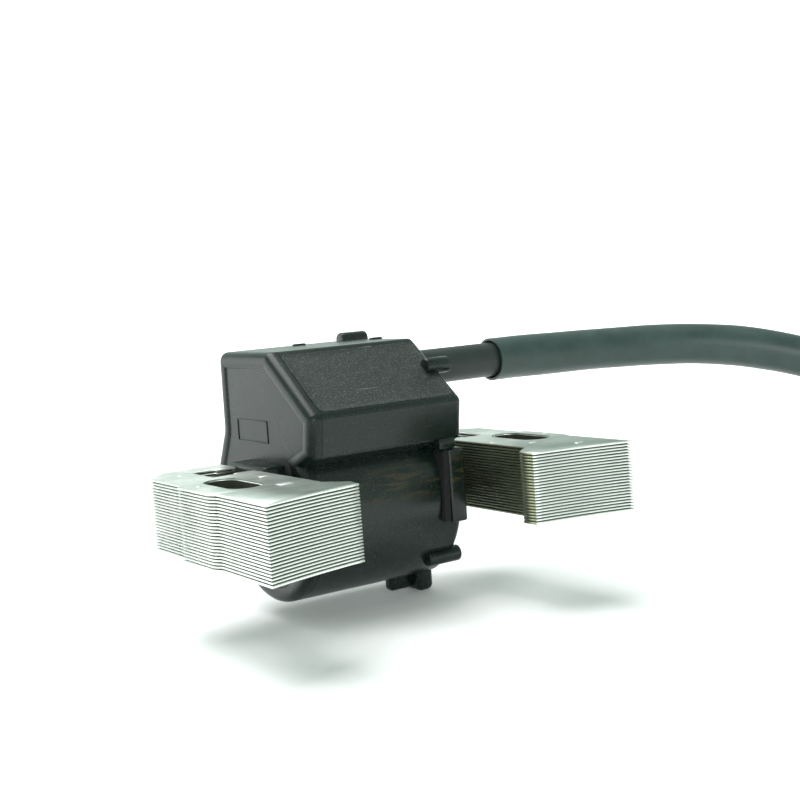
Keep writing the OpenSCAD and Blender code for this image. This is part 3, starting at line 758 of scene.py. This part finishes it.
def leg_mesh(side):
    """All sheets of a leg, the near-black core of painted shade behind their gaps, and the raised
    marks on top. Returns vertices, faces and each face's material: 0 rolled, 1 sheared, 2 gap
    shade, 3 darker inner edges."""
    loops = [leg_outline(side), bolt_slot(side)]
    sizes = [len(loop) for loop in loops]
    edge = settings().sheet_round / MM
    rings = {d: [offset_corners(loop, d) for loop in loops] for d in (0.0, edge, CORE_IN)}
    # The right leg's inner edges, beside the module, are made darker and yellow-grey
    x = loops[0][:, 0]
    inside = (side == 1) & (np.maximum(x, np.roll(x, -1)) < INNER_X[side] + 1.5)
    inside[:POLE_STEPS] = False
    edge_slots = np.where(inside, 3, 1).tolist()
    verts, faces, slots = [], [], []
    n = 0
    for row in sheet_rows(edge):
        starts = []
        for k, size in enumerate(sizes):
            starts.append(n)
            verts += [np.column_stack([rings[d][k], np.full(size, z)]) for z, d in row]
            faces += strip(4, size, first=n).tolist()
            slots += (edge_slots if k == 0 else [1] * size) * 3
            n += 4 * size
        top_starts = [first + 3 * size for first, size in zip(starts, sizes)]
        flat = cap_faces(rings[edge], starts, True) + cap_faces(rings[edge], top_starts, False)
        faces += flat
        slots += [0] * len(flat)
    # The near-black core behind the sheets' gaps: painted shade
    for k, size in enumerate(sizes):
        for z in (PITCH / 2, SHEETS * PITCH - PITCH / 2):
            verts.append(np.column_stack([rings[CORE_IN][k], np.full(size, z)]))
        quads = strip(2, size, first=n).tolist()
        faces += quads
        slots += [2] * len(quads)
        n += 2 * size
    for x, y, lx, ly in LEG_MARKS[side]:
        q, g = rounded_block((x - lx / 2, y - ly / 2, STACK_H - 0.3),
                             (x + lx / 2, y + ly / 2, STACK_H + 0.07), 0.3)
        verts.append(q)
        faces += [[n + k for k in face] for face in g]
        slots += [1] * len(g)
        n += len(q)
    v = np.concatenate(verts)
    if side == 0:
        v[:, 0] *= -1
        faces = [face[::-1] for face in faces]
    return place(v), faces, slots


def rim_turn():
    """Angles of the quarter circle that rounds the module's end rims."""
    return np.linspace(0, math.pi / 2, 7)


def case_mesh():
    """The case's skin: the module's section carried along X, and drawn in round a quarter circle
    at its right end; with its mould lugs, flange plate, foot and raised marks."""
    rim = settings().rim / MM
    stations = [(CAP_INNER, 0.0), (CAP_INNER + 8, 0.0), (CASE_RIGHT - 9, 0.0)]
    stations += [(CASE_RIGHT - rim + rim * math.sin(t), rim * (1 - math.cos(t)))
                 for t in rim_turn()]
    rings = [module_section(inset) for _, inset in stations]
    count = len(rings[0])
    faces = strip(len(stations), count).tolist()
    faces += cap_faces([rings[-1]], [(len(stations) - 1) * count], False)
    faces += cap_faces([rings[0]], [0], True)
    skin = (along_x(rings, [x for x, _ in stations]), faces)
    v, f = join([skin, *(lug(*row) for row in LUGS), *(rounded_block(*row) for row in CASE_BLOCKS)])
    return place(v), f


def end_wall_mesh():
    """The left end wall: the module's section with a rounded rim, then a step down to a sunken
    panel; with the block round the crossbar and the plain rectangle's raised lines."""
    rim = settings().rim / MM
    face = CASE_LEFT + 0.3
    stations = [(CAP_INNER - 0.05, 0.0)]
    stations += [(CASE_LEFT + rim * (1 - math.sin(t)), rim * (1 - math.cos(t)))
                 for t in rim_turn()]
    stations += [(CASE_LEFT, rim + 1.0), (CASE_LEFT + 0.12, rim + 1.25), (face, rim + 1.4)]
    rings = [module_section(inset) for _, inset in stations]
    count = len(rings[0])
    faces = [q[::-1] for q in strip(len(stations), count).tolist()]
    faces += cap_faces([rings[-1]], [(len(stations) - 1) * count], True)
    parts = [(along_x(rings, [x for x, _ in stations]), faces),
             rounded_block((CASE_LEFT - 4.2, 31.4, -0.55), (CASE_LEFT + 1, 45.1, 13), 0.6)]
    parts += [rounded_block((face - 0.16, *low), (face + 0.2, *high), 0.1, steps=2)
              for low, high in RECTANGLE]
    v, f = join(parts)
    return place(v), f


def shade_pad_mesh():
    """A low swelling of painted shade on the end wall: the pad's outline drawn in as it rises."""
    rows = [(0.0, 0.2), (0.0, 0.0), (0.2, -0.25), (0.6, -0.4), (1.2, -0.45)]
    rings = [offset_corners(SHADE_PAD, inset) for inset, _ in rows]
    faces = [q[::-1] for q in strip(len(rows), len(SHADE_PAD)).tolist()]
    faces += cap_faces([rings[-1]], [(len(rows) - 1) * len(SHADE_PAD)], True)
    return place(along_x(rings, [CASE_LEFT + 0.3 + x for _, x in rows])), faces


def resin_mesh():
    """The resin on the slope, from rings of (inset, height over the slope): a meniscus round a
    slightly sunken middle."""
    low, high = np.array([HOUSE_FRONT, SLOPE_Z]), np.array([HOUSE_BACK - TOP_DEPTH, HOUSE_TOP])
    length = np.linalg.norm(high - low)
    along = (high - low) / length
    out = np.array([-along[1], along[0]])
    x0, x1, margin = CAP_INNER + 0.1, CASE_RIGHT - 1.3, 1.1
    corners = np.array([[x0, margin], [x1, margin], [x1, length - margin], [x0, length - margin]])
    outline = np.concatenate([round_corner(corners[i - 1], corners[i], corners[(i + 1) % 4], 1.2)
                              for i in range(4)])
    rows = [(0.0, -0.3), (0.0, 0.04), (0.05, 0.09), (0.2, 0.09), (0.5, 0.03), (1.4, 0.02)]
    rings = [offset_corners(outline, inset) for inset, _ in rows]
    verts = [np.column_stack([p[:, 0], low + p[:, 1:] * along + height * out])
             for p, (_, height) in zip(rings, rows)]
    faces = strip(len(rows), len(outline)).tolist()
    faces += cap_faces([rings[-1]], [(len(rows) - 1) * len(outline)], False)
    return place(np.concatenate(verts)), faces


# ------------------------------------------------------------------ operators
class COIL_OT_stage(bpy.types.Operator):
    """Camera, pale floor and soft studio light."""

    bl_idname = "coil.stage"
    bl_label = "Stage"

    def execute(self, context):
        add_camera()
        add_floor()
        add_world()
        add_lamps()
        return {"FINISHED"}


class COIL_OT_lead(bpy.types.Operator):
    """The high-tension lead, its collar and its protective sleeve."""

    bl_idname = "coil.lead"
    bl_label = "Lead"

    def execute(self, context):
        path = smooth_path(ROUTE, PATH_STEPS)
        lead = make_mesh("lead", *rod(path, LEAD_R * MM, 40), 40, "module", ["ht_lead"],
                         "lead_rubber")
        # Grey-black insulation, smooth enough for a soft bright line along its top
        paint(lead, rubber("drawn_rubber_lead", settings().lead, 0.42))

        covered = smooth_path(ROUTE[SLEEVE_FROM:SLEEVE_TO + 1], PATH_STEPS)
        sleeve = make_mesh("sleeve", *sleeve_wall(covered), 40, "module", ["lead_sleeve"],
                           "sleeve_rubber")
        # Grey-green rubber, paler than the lead
        paint(sleeve, rubber("extruded_sleeve", settings().sleeve, 0.36, 0.02))

        # The collar's profile: distance along the lead and radius
        long = COLLAR_HIGH.x - COLLAR_LOW.x
        r0, r1, bore = 5.1 * MM, 4.4 * MM, LEAD_R * MM * 1.01
        profile = [(0, bore), (0, r0 * 0.98), (0.3 * MM, r0), (long * 0.4, r0 * 0.95),
                   (long - 0.8 * MM, r1), (long - 0.2 * MM, r1 * 0.97), (long, r1 * 0.92),
                   (long, bore)]
        centre = (COLLAR_LOW + COLLAR_HIGH) / 2
        v, f = turned(profile, (COLLAR_LOW.x, centre.y, centre.z), (1, 0, 0))
        collar = make_mesh("collar", v, f, 35, "module", ["lead_collar"], "case_plastic")
        # The case's plastic, without its dust
        paint(collar, moulded_plastic("moulded_nylon_collar", settings().plastic))

        return {"FINISHED"}


class COIL_OT_legs(bpy.types.Operator):
    """Both legs, as separate sheets with rounded edges over a near-black core of painted shade."""

    bl_idname = "coil.legs"
    bl_label = "Core legs"

    def execute(self, context):
        for side, name in enumerate(("left_leg", "right_leg")):
            v, f, slots = leg_mesh(side)
            piece = make_mesh(name, v, f, 60, "module", [name + "_laminations"],
                              "lamination_steel")
            # Satin rolled faces with painted shade towards the pole tips, bright sheared edges, a
            # near-black core of painted shade in the gaps, and darker inner edges
            paint(piece,
                  lamination_steel("rolled_silicon_steel_" + name, "#bcc4be", drawn=0.25,
                                   painted_shade=0.75),
                  lamination_steel("sheared_steel_edge_" + name, "#eef0ec"),
                  gap_shade("core_shade_" + name),
                  lamination_steel("darker_steel_edge_" + name, "#9a9f86", "#a3a588"))
            piece.data.polygons.foreach_set("material_index", slots)
        return {"FINISHED"}


class COIL_OT_crossbar(bpy.types.Operator):
    """The crossbar's sheets."""

    bl_idname = "coil.crossbar"
    bl_label = "Crossbar"

    def execute(self, context):
        # Dark varnish baked on the steel, mottled where it pooled
        paint_node("crossbar_laminations",
                   coated("varnished_crossbar_steel", "#151813", "#3a3d31", 0.35, 900.0))
        return {"FINISHED"}


class COIL_OT_case(bpy.types.Operator):
    """The moulded case, and a near-black piece of painted shade in the slot between it and its
    flange plate.
    """

    bl_idname = "coil.case"
    bl_label = "Case"

    def execute(self, context):
        v, f = case_mesh()
        case = make_mesh("case", v, f, 28, "module", ["coil_case"], "case_plastic")
        # Glossier than the end wall, with a brown film under the ledge
        paint(case, moulded_plastic("moulded_nylon_case", settings().plastic, (0.2, 0.32),
                                    dust=0.1, film=0.35))
        v, f = rounded_block((11.3, DRUM_Y - 17.0, -0.6), (12.7, DRUM_Y - 9, 12.4), 0.3, 0.04)
        slot_shade = make_mesh("slot_shade_piece", place(v), f, 28)
        # Painted shade: a dull, near-black piece that stands for the shadow in the slot
        paint(slot_shade, coated("painted_slot_shade", "#050606", "#080a09", 0.9))
        return {"FINISHED"}


class COIL_OT_end_cap(bpy.types.Operator):
    """The left end wall, and a dark pad of painted shade over the crossbar's joint."""

    bl_idname = "coil.end_cap"
    bl_label = "End cap"

    def execute(self, context):
        v, f = shade_pad_mesh()
        shade_pad = make_mesh("joint_shade_pad", v, f, 60)
        # Painted shade: a dull, near-black pad where the end wall lies in shadow beside the
        # crossbar's joint
        paint(shade_pad, coated("painted_joint_shade", "#0a0d0c", "#101413", 0.85))
        v, f = end_wall_mesh()
        wall = make_mesh("end_wall", v, f, 28, "module", ["end_cap"], "case_plastic")
        # The same plastic from a finer mould face, a little duller
        paint(wall, moulded_plastic("moulded_nylon_end", settings().plastic, (0.24, 0.34),
                                    dust=0.12, shine=0.28))
        return {"FINISHED"}


class COIL_OT_resin(bpy.types.Operator):
    """The cast resin that closes the slope."""

    bl_idname = "coil.resin"
    bl_label = "Resin"

    def execute(self, context):
        v, f = resin_mesh()
        panel = make_mesh("resin_panel", v, f, 30, "module", ["potting_resin"], "resin")
        # Black epoxy that was poured flat: rougher and dustier than the moulded case
        paint(panel, moulded_plastic("cast_epoxy", linear("#0c1613"), (0.36, 0.56), grain=0.05,
                                     specks=0.12, dust=0.45, scratches=0.5))
        return {"FINISHED"}


class COIL_OT_plug_cap(bpy.types.Operator):
    """The elbow cap at the lead's end, with its resistor, screw, clip and seals."""

    bl_idname = "coil.plug_cap"
    bl_label = "Plug cap"

    def execute(self, context):
        # Matt black rubber, as moulded
        skin = rubber("moulded_rubber_cap", linear("#161717"), 0.6, 0.02)
        for node in ("plug_cap", "cap_lead_seal", "cap_plug_seal"):
            paint_node(node, skin)
        # Glazed off-white ceramic
        paint_node("cap_resistor", coated("glazed_ceramic", "#cfc9bd", "#ddd8cd", 0.2))
        # Yellow brass, dulled
        brass = plated_metal("cap_brass", "#b98f45")
        paint_node("cap_contact_screw", brass)
        paint_node("cap_terminal_clip", brass)
        return {"FINISHED"}


class COIL_OT_inside(bpy.types.Operator):
    """Terminals, windings and electronics."""

    bl_idname = "coil.inside"
    bl_label = "Terminals and inner parts"

    def execute(self, context):
        # Bright tin on the strap, the blade and the pins
        tin = plated_metal("tin_plate", "#b9bcbd")
        for node in ("ground_strap", "stop_terminal", "solder_pins"):
            paint_node(node, tin)
        # Uncoloured nylon, cream and satin
        bobbin = coated("bobbin_nylon", "#c9c2b0", "#d8d2c2", 0.45)
        # Fine red-brown wire: its pattern is a third of a millimetre across
        copper = coated("enamelled_copper", "#7a3312", "#9a4a1d", 0.3, 3000.0)
        for node, material in (
                ("primary_bobbin", bobbin), ("secondary_bobbin", bobbin),
                ("primary_winding", copper), ("secondary_winding", copper),
                # Green mask, matt black packages, tan, orange and dark red dipped parts, brass
                ("circuit_board", coated("solder_mask", "#1c4a26", "#235a2f", 0.35)),
                ("power_transistor", coated("moulded_package", "#0e0e0f", "#18181a")),
                ("trigger_transistor", coated("moulded_package_small", "#0e0e0f", "#18181a")),
                ("resistors", coated("resistor_coat", "#9c7a4c", "#b39061")),
                ("capacitor", coated("dipped_coat", "#b0560f", "#c96a1b", 0.25)),
                ("diodes", coated("diode_glass", "#4a0f0a", "#641812", 0.2)),
                ("hv_terminal_pin", plated_metal("pin_brass", "#b98f45"))):
            paint_node(node, material)
        return {"FINISHED"}


class COIL_PT_panel(bpy.types.Panel):
    """Lists the coil's settings and operators in the sidebar."""

    bl_idname = "COIL_PT_panel"
    bl_label = "Ignition coil"
    bl_space_type = "VIEW_3D"
    bl_region_type = "UI"
    bl_category = "Coil"

    def draw(self, context):
        chosen = context.scene.coil_settings
        for name in ("rim", "sheet_round", "plastic", "lead", "sleeve", "floor"):
            self.layout.prop(chosen, name)
        for operator in OPERATORS:
            self.layout.operator(operator.bl_idname)


OPERATORS = (COIL_OT_stage, COIL_OT_lead, COIL_OT_legs, COIL_OT_crossbar, COIL_OT_case,
             COIL_OT_end_cap, COIL_OT_resin, COIL_OT_plug_cap, COIL_OT_inside)
CLASSES = (COIL_PG_settings, *OPERATORS, COIL_PT_panel)


def register():
    """Registers the classes and the scene's settings."""
    for made in CLASSES:
        bpy.utils.register_class(made)
    bpy.types.Scene.coil_settings = bpy.props.PointerProperty(type=COIL_PG_settings)


def unregister():
    """Removes what register() added."""
    del bpy.types.Scene.coil_settings
    for made in reversed(CLASSES):
        bpy.utils.unregister_class(made)


def main():
    """Builds every piece in order."""
    register()
    for operator in OPERATORS:
        group, name = operator.bl_idname.split(".")
        getattr(getattr(bpy.ops, group), name)()


if __name__ == "__main__":
    main()
